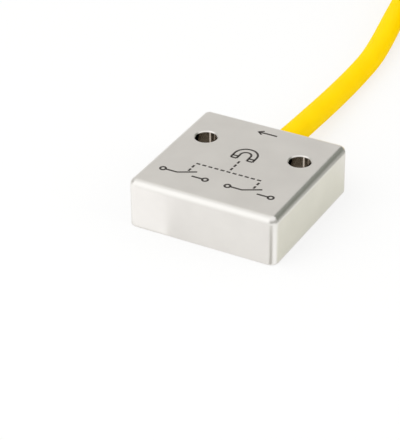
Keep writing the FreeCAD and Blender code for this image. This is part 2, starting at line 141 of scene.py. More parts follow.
# Sizes and places in the drawing on the top, in millimetres
CONTACT_LENGTH = 13
CONTACTS_X = (-15.6, 2.1)
CONTACTS_Y = -11.4
TERMINAL_RADIUS = 0.7
LINK_X = 8.85
LINK_Y = -5.6
HORSESHOE_END = 1.2
HORSESHOE_BEND = 3.4
HORSESHOE_RADII = (3.0, 1.4)
ARROW_Y = 15.3
ARROW_REACH = 2.6

# Cable ties: side and place of each along the hank
TIE_PLACES = ((1, 0.006), (-1, 0.032))

# Middle of a tie's strap round the bundle: its reach across the hank, its heights and its corners
TIE_NEAR = 0.014725
TIE_FAR = 0.028125
TIE_LOW = 0.000475
TIE_HIGH = 0.013875
TIE_CORNER = 0.003575

# Section of a tie's strap, and how deep the head sits in it
STRAP_WIDTH = 0.0026
STRAP_THICKNESS = 0.00095
STRAP_CORNER = 0.00022
HEAD_SUNK = 0.0001

# Head of a tie with the slot in it, and the strap's cut end: height, two reaches and corner, in millimetres
TIE_HEAD = (
    (0, 2.0, 1.9, 0.3),
    (0.2, 2.3, 2.2, 0.5),
    (1.7, 2.3, 2.2, 0.5),
    (2.05, 1.95, 1.85, 0.4),
    (2.05, 0.75, 1.55, 0.2),
    (0.6, 0.75, 1.55, 0.2),
)
TIE_END = ((0.6, 0.46, 1.28, 0.15), (1.9, 0.46, 1.28, 0.15), (2.1, 0.43, 1.25, 0.15))

# Sections of a wire ferrule's funnel and tube: distance along the core, reach and corner, in millimetres
FUNNEL = (
    (0.9, 0.66, 0.66),
    (0.05, 0.86, 0.86),
    (0, 1.1, 1.1),
    (0.12, 1.15, 1.15),
    (1.5, 1.12, 1.12),
    (2.4, 1.1, 1.1),
    (3.5, 0.8, 0.8),
    (3.95, 0.72, 0.72),
    (4.0, 0.6, 0.6),
)
TUBE_START = ((3.6, 0.55, 0.55), (4.5, 0.55, 0.55))
TUBE_END = ((8.3, 0.5, 0.2), (8.6, 0.54, 0.54), (8.95, 0.55, 0.55), (9.0, 0.5, 0.5), (8.9, 0.36, 0.36))

# Cross ribs of the tube: the sections of one, measured from its start, and where the ribs are
RIB = ((0, 0.5, 0.16), (0.25, 0.45, 0.12))
RIB_START = 4.8
RIB_PITCH = 0.55
RIB_COUNT = 6

# Edges of a modelled form that bend more than this are sharp, in degrees
SHARP_ANGLE = 38

# Surroundings: their colour and the strength of their light
WHITE = (1, 1, 1, 1)
WORLD_LIGHT = 0.75

# Floor: half its width, its share of white, how much of that gloss shows, and where its plain paper ends
FLOOR_REACH = 3
FLOOR_WHITE = 0.75
FLOOR_IN_GLOSS = 0.65
PAPER_FADE = (19 * MM, 19.5 * MM)

# Lamps: direction from the object, distance, size and power
SOFTBOXES = {
    "overhead_softbox": ((-0.38, -0.48, 0.79), 1.0, 1.25, 5.6),
    "front_softbox": ((-0.41, -0.86, 0.25), 1.1, 0.55, 1.0),
    "right_softbox": ((0.87, 0.1, 0.48), 1.2, 0.8, 2.1),
}

# Cards round the object: their turns, lower edge and upper edge in degrees, shade, strength and distance
CARD_STEPS = 24
CARDS = {
    "dark_card": ((30, 94), (0.3, 22), (38, 56), "#787C73", 1.0, 1.5),
    "side_card": ((28, 95), (0.4, 0.4), (45, 45), "#CFCECB", 1.0, 1.6),
    "back_card": ((95, 165), (0.4, 0.4), (48, 48), "#DEDDDA", 1.0, 1.6),
    "high_card": ((95, 200), (48, 48), (64, 64), "#F4F3F0", 1.0, 1.6),
    "light_card": ((203, 262), (5, 5), (64, 64), "#FFFFFF", 1.22, 1.6),
    "left_card": ((165, 203), (0.4, 0.4), (38, 38), "#C4C3C0", 1.0, 1.6),
    "right_card": ((270, 388), (0.4, 0.4), (38, 38), "#BBBAB7", 1.0, 1.6),
}

# Glowing strip on the wall of each screw hole, seen only in gloss, which paints a highlight streak on the
# wall opposite: radius and heights in millimetres, and turns in degrees
STRIP_RADIUS = 2.68
STRIP_TURNS = (222, 246)
STRIP_HEIGHTS = (6.8, 10.4)

# Patches just over the floor: two corners on one side and two on the other
PATCH_HEIGHT = 0.0002
PATCHES = {
    "floor_reflector": ((-0.075, -0.0205), (-0.0095, -0.0205), (-0.095, -0.07), (-0.036, -0.07)),
    "floor_flag": ((0.0184, -0.0203), (0.0193, -0.02), (0.0198, -0.0395), (0.032, -0.034)),
    "corner_reflector": ((0.0198, -0.0196), (0.0201, -0.019), (0.034, -0.03), (0.038, -0.014)),
    "floor_gel": ((0.0202, -0.0185), (0.0202, 0.021), (0.034, -0.0135), (0.034, 0.045)),
    "floor_shade": ((0.115, -0.06), (0.0, 0.1), (1.5, 0.1), (0.3, 1.5)),
}


def colour(code):
    """An sRGB hex value as linear colour."""
    parts = [int(code[i : i + 2], 16) / 255 for i in (1, 3, 5)]
    linear = [c / 12.92 if c <= 0.04045 else ((c + 0.055) / 1.055) ** 2.4 for c in parts]
    return (*linear, 1)


def node(tree, kind, inputs=(), **settings):
    """Adds a node with its settings. An input takes a value, or the output that feeds it."""
    made = tree.nodes.new(kind)
    for key, value in settings.items():
        setattr(made, key, value)
    for key, value in dict(inputs).items():
        if isinstance(value, bpy.types.NodeSocket):
            tree.links.new(value, made.inputs[key])
        else:
            made.inputs[key].default_value = value
    return made


def material(name, base, roughness, metallic=0.0, **constants):
    """A material with one Principled shader. Returns it with its tree and shader."""
    made = bpy.data.materials.new(name)
    made.use_nodes = True
    shader = made.node_tree.nodes["Principled BSDF"]
    shader.inputs["Base Color"].default_value = colour(base)
    shader.inputs["Roughness"].default_value = roughness
    shader.inputs["Metallic"].default_value = metallic
    for key, value in constants.items():
        shader.inputs[key.replace("_", " ")].default_value = value
    return made, made.node_tree, shader


def grain(tree, size, stretch=(1, 1, 1), detail=2.0):
    """Noise whose spots are about size millimetres across, longer along an axis with a larger stretch."""
    place = node(tree, "ShaderNodeTexCoord").outputs["Object"]
    scale = [1 / s for s in stretch]
    scaled = node(tree, "ShaderNodeMapping", {"Vector": place, "Scale": scale}).outputs["Vector"]
    noise = node(tree, "ShaderNodeTexNoise", {"Vector": scaled, "Scale": 1 / (size * MM), "Detail": detail})
    return noise.outputs["Fac"]


def spread(tree, value, low, high, start=0.3, end=0.7):
    """Maps a pattern between start and end to a range of numbers."""
    inputs = {"Value": value, "From Min": start, "From Max": end, "To Min": low, "To Max": high}
    return node(tree, "ShaderNodeMapRange", inputs).outputs["Result"]


def shades(tree, value, dark, light, start=0.3, end=0.7):
    """Maps a pattern to a colour between two."""
    share = spread(tree, value, 0, 1, start, end)
    inputs = {"Factor": share, 6: colour(dark), 7: colour(light)}
    return node(tree, "ShaderNodeMix", inputs, data_type="RGBA").outputs[2]


def relief(tree, shader, height, depth, strength=1.0):
    """Gives a shader the bump of a pattern, depth millimetres deep."""
    inputs = {"Height": height, "Distance": depth * MM, "Strength": strength}
    bump = node(tree, "ShaderNodeBump", inputs)
    tree.links.new(bump.outputs["Normal"], shader.inputs["Normal"])


def edge_share(tree, place):
    """1 on the housing's rounded edges and 0 on its faces."""
    size = node(tree, "ShaderNodeVectorMath", {0: place}, operation="ABSOLUTE").outputs[0]
    past = node(tree, "ShaderNodeVectorMath", {0: size, 1: EDGE_START}, operation="SUBTRACT").outputs[0]
    only = node(tree, "ShaderNodeVectorMath", {0: past, 1: (0, 0, 0)}, operation="MAXIMUM").outputs[0]
    inputs = {0: only, 1: (1, 1, 1)}
    total = node(tree, "ShaderNodeVectorMath", inputs, operation="DOT_PRODUCT").outputs["Value"]
    return spread(tree, total, 0, 1, *EDGE_FADE)


def bore_share(tree, place):
    """1 in the two screw holes and 0 elsewhere."""
    parts = node(tree, "ShaderNodeSeparateXYZ", {0: place}).outputs
    side = node(tree, "ShaderNodeMath", {0: parts["X"]}, operation="ABSOLUTE").outputs[0]
    flat = node(tree, "ShaderNodeCombineXYZ", {"X": side, "Y": parts["Y"]}).outputs[0]
    axis = (HOLE_X, HOLE_Y, 0)
    away = node(tree, "ShaderNodeVectorMath", {0: flat, 1: axis}, operation="DISTANCE").outputs["Value"]
    return spread(tree, away, 1, 0, *BORE_FADE)


def mixed(tree, share, kind, first, second):
    """First where a share is 0 and second where it is 1. Kind is FLOAT or RGBA."""
    a, b = (2, 3) if kind == "FLOAT" else (6, 7)
    made = node(tree, "ShaderNodeMix", {0: share, a: first, b: second}, data_type=kind)
    return made.outputs[0 if kind == "FLOAT" else 2]


def ground_stainless():
    """Stainless bar, milled and then ground in a drum of small stones: an even satin with faint clouds.

    The stones rub the rounded edges brighter. They don't reach into the drilled holes, which keep the drill's
    rings.
    The holes' darker colour is painted shade.
    """
    made, tree, shader = material("drum_ground_stainless_steel", "#E6E3DF", 0.3, 1.0)
    place = node(tree, "ShaderNodeTexCoord").outputs["Object"]
    edge, bore = edge_share(tree, place), bore_share(tree, place)
    face = shades(tree, grain(tree, 9, detail=3), "#E3E0DC", "#E9E6E2")
    rings = grain(tree, 0.3, stretch=(40, 40, 1), detail=2)
    steel = mixed(tree, edge, "RGBA", face, colour("#ECEAE6"))
    # Darker colour in the screw holes is painted shade; the rings in it are the drill's marks
    steel = mixed(tree, bore, "RGBA", steel, shades(tree, rings, "#C2BDB5", "#D2CDC6"))
    tree.links.new(steel, shader.inputs["Base Color"])
    satin = spread(tree, grain(tree, 9, detail=1), 0.28, 0.33, 0.1, 0.9)
    gloss = mixed(tree, edge, "FLOAT", satin, 0.3)
    gloss = mixed(tree, bore, "FLOAT", gloss, 0.07)
    tree.links.new(gloss, shader.inputs["Roughness"])
    relief(tree, shader, mixed(tree, bore, "FLOAT", grain(tree, 2.5, detail=2), rings), 0.002)
    return made


def rolled_stainless():
    """Cold-rolled stainless sheet: fine lines along the rolling direction."""
    made, tree, shader = material("cold_rolled_stainless_sheet", "#BDBBB8", 0.34, 1.0)
    lines = grain(tree, 0.3, stretch=(40, 1, 1), detail=3)
    tree.links.new(shades(tree, lines, "#B4B2AF", "#C6C4C1"), shader.inputs["Base Color"])
    tree.links.new(spread(tree, lines, 0.28, 0.4), shader.inputs["Roughness"])
    relief(tree, shader, lines, 0.004)
    return made


def moulded(name, base, other, roughness, size=0.5, depth=0.01, **constants):
    """A moulded or extruded plastic: fine skin texture and a slight change of shade."""
    made, tree, shader = material(name, base, roughness, **constants)
    tree.links.new(shades(tree, grain(tree, 6, detail=3), base, other), shader.inputs["Base Color"])
    texture = grain(tree, size, detail=3)
    tree.links.new(spread(tree, texture, roughness - 0.05, roughness + 0.07), shader.inputs["Roughness"])
    relief(tree, shader, texture, depth)
    return made


def extruded_sheath():
    """Yellow polyurethane sheath, extruded over a twisted core: matt and evenly coloured."""
    made, tree, shader = material("extruded_yellow_polyurethane", "#FFD600", 0.55, Specular_IOR_Level=0.02)
    tree.links.new(shades(tree, grain(tree, 8, detail=2), "#FFD400", "#FFD802"), shader.inputs["Base Color"])
    tree.links.new(spread(tree, grain(tree, 7, detail=1), 0.48, 0.6, 0.1, 0.9), shader.inputs["Roughness"])
    relief(tree, shader, grain(tree, 1.2, detail=1), 0.004)
    return made


def worked_metal(name, base, other, roughness, size=0.4, stretch=(1, 1, 1), depth=0.004):
    """A metal part too small for marks to be told apart: colour and gloss change a little over it."""
    made, tree, shader = material(name, base, roughness, 1.0)
    marks = grain(tree, size, stretch, detail=3)
    tree.links.new(shades(tree, marks, base, other), shader.inputs["Base Color"])
    tree.links.new(spread(tree, marks, roughness - 0.05, roughness + 0.08), shader.inputs["Roughness"])
    relief(tree, shader, marks, depth)
    return made


def drawn_glass():
    """Green-tinted glass tube, clear and smooth from the draw."""
    made, tree, shader = material("drawn_green_glass", "#D2EBD8", 0.03, IOR=1.52, Transmission_Weight=1.0)
    tree.links.new(spread(tree, grain(tree, 2, detail=1), 0.02, 0.05), shader.inputs["Roughness"])
    return made


def solder_resist():
    """Glass laminate under green solder resist: glossy, and its weave of 0.6 mm shows faintly."""
    made, tree, shader = material("green_solder_resist", "#1F5A33", 0.28)
    place = node(tree, "ShaderNodeTexCoord").outputs["Object"]
    threads = 1 / (0.6 * MM)
    inputs = {"Vector": place, "Scale": threads, "Color1": colour("#1F5A33"), "Color2": colour("#26663B")}
    weave = node(tree, "ShaderNodeTexChecker", inputs)
    tree.links.new(weave.outputs["Color"], shader.inputs["Base Color"])
    relief(tree, shader, weave.outputs["Fac"], 0.004)
    return made


def laser_mark():
    """Line that a laser left in the steel: a dark oxide, duller than the ground face round it."""
    made, tree, shader = material("laser_annealed_oxide", "#37332F", 0.6, Specular_IOR_Level=0.3)
    burn = grain(tree, 0.5, detail=4)
    tree.links.new(shades(tree, burn, "#2F2B28", "#46413C"), shader.inputs["Base Color"])
    tree.links.new(spread(tree, burn, 0.5, 0.7), shader.inputs["Roughness"])
    return made


def weld_metal():
    """Laser weld in stainless: bright scales with a breath of straw colour."""
    made, tree, shader = material("laser_welded_stainless", "#B9B2A6", 0.25, 1.0)
    heat = grain(tree, 1.8, detail=2)
    tree.links.new(shades(tree, heat, "#B3A892", "#C3C0BB"), shader.inputs["Base Color"])
    tree.links.new(spread(tree, heat, 0.2, 0.32), shader.inputs["Roughness"])
    return made


def materials():
    """Every finish of the object, by the record's slot name, and two that only the looks have."""
    return {
        "laser_mark": laser_mark(),
        "weld_metal": weld_metal(),
        "steel_housing": ground_stainless(),
        "steel_plate": rolled_stainless(),
        "capsule_plastic": moulded("moulded_grey_polyamide", "#8F8B8C", "#9A9697", 0.5),
        "seal_rubber": moulded("moulded_nitrile_rubber", "#1B1B1C", "#252526", 0.6, size=0.25),
        "cable_sheath": extruded_sheath(),
        "crimp_metal": worked_metal("pressed_brass", "#D9B56A", "#E4C47C", 0.3),
        "board_laminate": solder_resist(),
        "comb_plastic": moulded("moulded_black_polyamide", "#1C1C1E", "#27272A", 0.5),
        "solder_tin": worked_metal("reflowed_solder", "#C9CACB", "#DADBDC", 0.2),
        "chip_black": moulded("epoxy_mould_compound", "#1A1A1B", "#242425", 0.45, size=0.15),
        "casting_resin": moulded("cast_dark_epoxy", "#2A2A2D", "#333337", 0.3, size=1.5),
        "tie_nylon": moulded("moulded_black_nylon", "#161617", "#202022", 0.36, size=0.4),
        "reed_glass": drawn_glass(),
        "blade_metal": worked_metal("bright_nickel_iron", "#CDC8BE", "#D9D5CC", 0.22, stretch=(6, 1, 1)),
        "core_brown": moulded("extruded_brown_insulation", "#5A3520", "#67402A", 0.4, size=0.4),
        "core_white": moulded("extruded_white_insulation", "#E9E8E2", "#F1F0EB", 0.4, size=0.4),
        "core_blue": moulded("extruded_blue_insulation", "#1F5FB4", "#2A6CC0", 0.4, size=0.4),
        "core_black": moulded("extruded_black_insulation", "#18181A", "#222224", 0.4, size=0.4),
        "strand_copper": worked_metal("bare_copper_strands", "#C77B55", "#D89068", 0.3, size=0.1),
        "ferrule_plastic": moulded("moulded_blue_polypropylene", "#8FC3DE", "#9CCCE4", 0.45, size=0.4),
        "ferrule_tin": worked_metal("tinned_copper_tube", "#CBCBCA", "#D8D8D7", 0.25),
    }


def dress(nodes, record, finishes):
    """Gives every CAD node the finish of its slot."""
    for entry in record["subparts"]:
        mesh = nodes[entry["node"]].data
        mesh.materials.clear()
        mesh.materials.append(finishes[entry["material_slot"]])


def add(name, mesh, finish, slot, *stood_for):
    """Adds a finished piece to the object, in place of the CAD nodes that it stands for."""
    made = bpy.data.objects.new(name, mesh)
    bpy.context.scene.collection.objects.link(made)
    made.data.materials.append(finish)
    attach(made, "root")
    if stood_for:
        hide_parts(*stood_for)
    return made


def line(name, points, diameter, round_points=4):
    """A round cord along a smooth line with these control points."""
    curve = bpy.data.curves.new(name, "CURVE")
    curve.dimensions = "3D"
    spline = curve.splines.new("NURBS")
    spline.points.add(len(points) - 1)
    for point, place in zip(spline.points, points):
        point.co = (*place, 1)
    spline.order_u = 3
    spline.use_endpoint_u = True
    curve.resolution_u = 10
    curve.bevel_depth = diameter / 2
    curve.bevel_resolution = round_points
    curve.use_fill_caps = True
    return curve


def outline(reach_x, reach_y, corner, steps=5):
    """Points of a rounded rectangle, anticlockwise. With a corner as large as both reaches it is a circle."""
    points = []
    for k, (side_x, side_y) in enumerate(((1, 1), (-1, 1), (-1, -1), (1, -1))):
        for j in range(steps + 1):
            angle = math.pi / 2 * (k + (j + 0.5) / (steps + 1))
            x = side_x * (reach_x - corner) + corner * math.cos(angle)
            y = side_y * (reach_y - corner) + corner * math.sin(angle)
            points.append((x, y))
    return points


def placed(points, middle, right, up):
    """Puts flat points in space, round a middle."""
    return [middle + right * x + up * y for x, y in points]


def level_way(first, second):
    """Level direction from one point to another."""
    way = second - first
    way.z = 0
    return way.normalized()


def skin(name, rings, closed=False):
    """A smooth mesh through rings of points, with its ends capped unless it closes on itself."""
    form = bmesh.new()
    loops = [[form.verts.new(point) for point in ring] for ring in rings]
    pairs = list(zip(loops, loops[1:]))
    if closed:
        pairs.append((loops[-1], loops[0]))
    else:
        form.faces.new(loops[0])
        form.faces.new(loops[-1])
    for first, second in pairs:
        for k in range(len(first)):
            j = (k + 1) % len(first)
            form.faces.new((first[k], first[j], second[j], second[k]))
    bmesh.ops.recalc_face_normals(form, faces=form.faces)
    for edge in form.edges:
        edge.smooth = edge.calc_face_angle(0) < math.radians(SHARP_ANGLE)
    for face in form.faces:
        face.smooth = True
    mesh = bpy.data.meshes.new(name)
    form.to_mesh(mesh)
    form.free()
    return mesh


def joined(name, meshes):
    """One mesh from several."""
    form = bmesh.new()
    for mesh in meshes:
        form.from_mesh(mesh)
    whole = bpy.data.meshes.new(name)
    form.to_mesh(whole)
    form.free()
    return whole


def path_mesh(name, lines):
    """A mesh of bare edges along lines of points. A line is (points, closed)."""
    form = bmesh.new()
    for points, closed in lines:
        marks = [form.verts.new(point) for point in points]
        for first, second in zip(marks, marks[1:]):
            form.edges.new((first, second))
        if closed:
            form.edges.new((marks[-1], marks[0]))
    mesh = bpy.data.meshes.new(name)
    form.to_mesh(mesh)
    form.free()
    return mesh


def node_tree(name, sizes):
    """A Geometry Nodes tree with a path and named sizes in metres as inputs."""
    tree = bpy.data.node_groups.new(name, "GeometryNodeTree")
    tree.interface.new_socket("Path", in_out="INPUT", socket_type="NodeSocketGeometry")
    for label in sizes:
        tree.interface.new_socket(label, in_out="INPUT", socket_type="NodeSocketFloat")
    tree.interface.new_socket("Form", in_out="OUTPUT", socket_type="NodeSocketGeometry")
    return tree, node(tree, "NodeGroupInput").outputs


def grown(name, path, tree, sizes):
    """The plain mesh that a Geometry Nodes tree makes from a path with these sizes."""
    base = bpy.data.objects.new(name, path)
    bpy.context.scene.collection.objects.link(base)
    modifier = base.modifiers.new("form", "NODES")
    modifier.node_group = tree
    for item in tree.interface.items_tree:
        if item.in_out == "INPUT" and item.name in sizes:
            modifier[item.identifier] = sizes[item.name]
    ready = base.evaluated_get(bpy.context.evaluated_depsgraph_get())
    mesh = bpy.data.meshes.new_from_object(ready)
    bpy.data.objects.remove(base)
    mesh.name = name
    return mesh


def finished(tree, geometry, finish):
    """Ends a tree: real geometry, with its material."""
    real = node(tree, "GeometryNodeRealizeInstances", {0: geometry}).outputs[0]
    smooth = node(tree, "GeometryNodeSetShadeSmooth", {0: real}).outputs[0]
    painted = node(tree, "GeometryNodeSetMaterial", {0: smooth, "Material": finish}).outputs[0]
    node(tree, "NodeGroupOutput", {0: painted})


def seam_tree(finish):
    """Welded seam: overlapping flat scales along a path."""
    tree, given = node_tree("welded_seam", ("Scale pitch", "Seam width", "Seam height"))
    curve = node(tree, "GeometryNodeMeshToCurve", {0: given["Path"]}).outputs[0]
    inputs = {"Curve": curve, "Length": given["Scale pitch"]}
    marks = node(tree, "GeometryNodeCurveToPoints", inputs, mode="LENGTH")
    ball = node(tree, "GeometryNodeMeshUVSphere", {"Segments": 10, "Rings": 5, "Radius": 0.5}).outputs[0]
    sizes = {"X": given["Seam width"], "Y": given["Seam width"], "Z": given["Seam height"]}
    size = node(tree, "ShaderNodeCombineXYZ", sizes).outputs[0]
    inputs = {"Points": marks.outputs["Points"], "Instance": ball, "Scale": size}
    scales = node(tree, "GeometryNodeInstanceOnPoints", inputs).outputs[0]
    finished(tree, scales, finish)
    return tree


def mark_tree(finish):
    """Marked line: a flat strip along a path."""
    tree, given = node_tree("laser_line", ("Line width", "Line height"))
    curve = node(tree, "GeometryNodeMeshToCurve", {0: given["Path"]}).outputs[0]
    upright = node(tree, "GeometryNodeSetCurveNormal", {0: curve}, mode="Z_UP")
    sizes = {"Width": given["Line width"], "Height": given["Line height"]}
    section = node(tree, "GeometryNodeCurvePrimitiveQuadrilateral", sizes).outputs[0]
    inputs = {"Curve": upright.outputs[0], "Profile Curve": section, "Fill Caps": True}
    strip = node(tree, "GeometryNodeCurveToMesh", inputs).outputs[0]
    finished(tree, strip, finish)
    return tree


def arc(x, y, radius, start, end, count):
    """Points of a flat arc, in millimetres and degrees."""
    turns = [math.radians(start + (end - start) * k / count) for k in range(count + 1)]
    return [(x + radius * math.cos(t), y + radius * math.sin(t)) for t in turns]


def terminal(x, y):
    """A terminal of the symbol: a small circle."""
    return arc(x, y, TERMINAL_RADIUS, 0, 345, 23), True


def contact_lines(x):
    """Circuit symbol of an open contact between two terminals, with its left end at x."""
    y = CONTACTS_Y
    left, right = x + TERMINAL_RADIUS, x + CONTACT_LENGTH - TERMINAL_RADIUS
    return [
        terminal(left, y),
        ([(left + TERMINAL_RADIUS, y), (x + 4.6, y), (x + 8.9, y + 2.3)], False),
        ([(x + 8.6, y), (right - TERMINAL_RADIUS, y)], False),
        terminal(right, y),
    ]


def dashes(start, end, count):
    """A dashed line of count dashes between two points."""
    (x0, y0), (x1, y1) = start, end
    lines = []
    for k in range(count):
        a, b = k / (count - 0.35), (k + 0.65) / (count - 0.35)
        lines.append(([(x0 + (x1 - x0) * s, y0 + (y1 - y0) * s) for s in (a, b)], False))
    return lines


def top_marks(finishes):
    """Generic circuit symbol on the top: a horseshoe, coupled by a dashed line to two open contacts."""
    lines = [each for x in CONTACTS_X for each in contact_lines(x)]
    lines += dashes((-LINK_X, LINK_Y), (LINK_X, LINK_Y), 11)
    for x in (-LINK_X, LINK_X):
        lines += dashes((x, LINK_Y - 1), (x, CONTACTS_Y + 1.8), 2)
    lines += dashes((0, HORSESHOE_END - 1), (0, LINK_Y + 1), 3)
    outer, inner = HORSESHOE_RADII
    for radius in HORSESHOE_RADII:
        bend = arc(0, HORSESHOE_BEND, radius, 180, 0, 16)
        lines.append(([(-radius, HORSESHOE_END), *bend, (radius, HORSESHOE_END)], False))
    for side in (-1, 1):
        for y in (HORSESHOE_END, HORSESHOE_END + 1.1):
            lines.append(([(side * inner, y), (side * outer, y)], False))
    barb = ARROW_REACH / 2
    lines.append(([(-ARROW_REACH, ARROW_Y), (ARROW_REACH, ARROW_Y)], False))
    lines.append(([(-barb, ARROW_Y - 0.9), (-ARROW_REACH, ARROW_Y), (-barb, ARROW_Y + 0.9)], False))
    raised = [([(x * MM, y * MM, HOUSING_TOP) for x, y in points], closed) for points, closed in lines]
    tree = mark_tree(finishes["laser_mark"])
    mesh = grown("top_marks", path_mesh("mark_paths", raised), tree, MARK_SIZES)
    mesh.materials.clear()
    add("top_marks", mesh, finishes["laser_mark"], "steel_housing")


def welded_seams(finishes):
    """Weld between the rim and the plate, and round both bosses."""
    rim = [(x, y, 0) for x, y in outline(PLATE_REACH, PLATE_REACH, PLATE_CORNER)]
    lines = [(rim, True)]
    for side in (-1, 1):
        ring = outline(BOSS_SEAM, BOSS_SEAM, BOSS_SEAM, 11)
        lines.append(([(side * HOLE_X + x, HOLE_Y + y, 0) for x, y in ring], True))
    tree = seam_tree(finishes["weld_metal"])
    mesh = grown("welded_seams", path_mesh("seam_paths", lines), tree, SEAM_SIZES)
    mesh.materials.clear()
    add("welded_seams", mesh, finishes["weld_metal"], "steel_plate")


def hank_frame():
    """Directions along and across the hank, and the middle of its near end."""
    before, last = Vector(LEAD[-2]), Vector(LEAD[-1])
    along = level_way(before, last)
    across = along.cross(UP)
    start = last + along * HANK_ENTRY + across * HANK_OUTER
    start.z = 0
    return along, across, start


def in_hank(x, y, z):
    """A point that is given across and along the hank."""
    along, across, start = hank_frame()
    return start + across * x + along * y + Vector((0, 0, z))


def eased(value, start, end):
    """A smooth step from 0 to 1 between two values."""
    share = min(max((value - start) / (end - start), 0), 1)
    return share * share * (3 - 2 * share)


def turn_radius(place):
    """Radius of the winding. The second turn moves inward on the near end, where the inner slot is free."""
    return HANK_OUTER + (HANK_INNER - HANK_OUTER) * eased(place, *STEP_INWARD)


def turn_height(place):
    """Height of the winding: the first turn rises on the near end, the third comes down before it."""
    share = eased(place, *CLIMB) - eased(place, *DESCENT)
    return ON_TIES + HANK_PITCH * share


def winding():
    """Control points of three and a half turns. A place counts turns, with a quarter for each run and end."""
    points = []
    for quarter in range(14):
        kind = quarter % 4
        side = -1 if kind == 0 else 1
        if kind in (0, 2):
            radius = turn_radius((quarter + 0.5) / 4)
            reach = radius * math.tan(FOLD_STEP / 2)
            for y in (reach, HANK_STRAIGHT / 2, HANK_STRAIGHT - reach):
                share = y / HANK_STRAIGHT
                height = turn_height((quarter + share) / 4)
                along = y if kind == 0 else HANK_STRAIGHT - y
                points.append((side * radius, along, height))
        else:
            for k in range(FOLD_POINTS):
                share = (k + 0.5) / FOLD_POINTS
                place = (quarter + share) / 4
                angle = math.pi * (1 - share) if kind == 1 else -math.pi * share
                radius = turn_radius(place) / math.cos(FOLD_STEP / 2)
                middle = HANK_STRAIGHT if kind == 1 else 0
                x, y = radius * math.cos(angle), middle + radius * math.sin(angle)
                points.append((x, y, turn_height(place)))
    reach = HANK_INNER * math.tan(FOLD_STEP / 2)
    points.append((HANK_INNER, HANK_STRAIGHT - reach, ON_TIES))
    return [in_hank(*point) for point in points]


def tail():
    """Control points of the loose end, inside the hank."""
    return [in_hank(*point) for point in TAIL]


def core_route(k):
    """Control points of one loose core, from the end of the sheath to its ferrule."""
    before, end = tail()[-2:]
    ahead = level_way(before, end)
    aside = ahead.cross(UP)
    x, z = CORE_SEATS[k]
    start = end + aside * (x * CORE_OFF_CENTRE) + UP * (z * CORE_OFF_CENTRE)
    below = Vector((end.x, end.y, COLLAR_DIAMETER / 2))
    return [
        start,
        start + ahead * CORE_STRAIGHT,
        below + ahead * CORE_LANDING + aside * CORE_SPREAD[k] * 0.75,
        below + ahead * CORE_REACH + aside * CORE_SPREAD[k],
    ]


def cable(finishes):
    """The sheathed cable as one line, and its loose cores."""
    route = [Vector(p) for p in LEAD] + winding() + tail()
    sheath = add(
        "cable",
        line("cable", route, CABLE_DRAWN, 6),
        finishes["cable_sheath"],
        "cable_sheath",
        "cable_lead",
        "cable_hank",
    )
    cores = []
    for k, name in enumerate(CORE_NAMES):
        curve = line(f"core_{name}", core_route(k), CORE_DIAMETER)
        slot = f"core_{name}"
        cores.append(add(f"core_{name}", curve, finishes[slot], slot, f"loose_core_{name}"))
    return sheath, cores


def stacked(name, foot, across, along, levels, corner_steps=5):
    """A form of rounded rectangles over each other, such as the head of a tie."""
    rings = []
    for height, x, y, corner in levels:
        section = outline(x * MM, y * MM, corner * MM, corner_steps)
        rings.append(placed(section, foot + UP * height * MM, across, along))
    return skin(name, rings)


def tie(side, place):
    """One cable tie round the hank's bundle: its strap, its head with a slot, and the strap's cut end."""
    along, across = hank_frame()[:2]
    middle = in_hank(side * (TIE_NEAR + TIE_FAR) / 2, place, (TIE_LOW + TIE_HIGH) / 2)
    reach_x, reach_z = (TIE_FAR - TIE_NEAR) / 2, (TIE_HIGH - TIE_LOW) / 2
    path = outline(reach_x, reach_z, TIE_CORNER, 7)
    section = outline(STRAP_WIDTH / 2, STRAP_THICKNESS / 2, STRAP_CORNER, 2)
    rings = []
    for k, (x, z) in enumerate(path):
        before, after = path[k - 1], path[(k + 1) % len(path)]
        flat = Vector((after[1] - before[1], before[0] - after[0])).normalized()
        outward = across * flat.x + UP * flat.y
        rings.append(placed(section, middle + across * x + UP * z, along, outward))
    strap = skin("strap", rings, closed=True)
    foot = middle + UP * (reach_z - HEAD_SUNK)
    head = stacked("head", foot, across, along, TIE_HEAD)
    cut_end = stacked("cut_end", foot, across, along, TIE_END, 2)
    return [strap, head, cut_end]


def ties(finishes):
    """Both cable ties as one piece."""
    meshes = [mesh for side, place in TIE_PLACES for mesh in tie(side, place)]
    return add("ties", joined("ties", meshes), finishes["tie_nylon"], "tie_nylon", "cable_ties")


def turned(name, start, ahead, steps):
    """A form round an axis. A step is its distance along, its reach and its corner, in millimetres."""
    aside = ahead.cross(UP)
    rings = []
    for distance, reach, corner in steps:
        section = outline(reach * MM, reach * MM, corner * MM)
        rings.append(placed(section, start + ahead * distance * MM, aside, UP))
    return skin(name, rings)


def crimped_tube():
    """Sections of a ferrule's tube: round, then pressed square with cross ribs, then its open end."""
    ribs = []
    for k in range(RIB_COUNT):
        start = RIB_START + k * RIB_PITCH
        ribs += [(start + distance, reach, corner) for distance, reach, corner in RIB]
    return [*TUBE_START, *ribs, *TUBE_END]


def ferrules(finishes):
    """Wire ferrules: a funnel of plastic, and a tinned tube that is crimped square with cross ribs."""
    made = []
    for k, name in enumerate(CORE_NAMES):
        before, start = core_route(k)[-2:]
        ahead = level_way(before, start)
        collar = turned("collar", start, ahead, FUNNEL)
        sleeve = turned("sleeve", start, ahead, crimped_tube())
        slots = ("ferrule_plastic", "ferrule_tin")
        nodes = (f"ferrule_collar_{name}", f"ferrule_sleeve_{name}")
        for mesh, slot, stood_for in zip((collar, sleeve), slots, nodes):
            made.append(add(stood_for.replace("ferrule", "crimped"), mesh, finishes[slot], slot, stood_for))
    return made


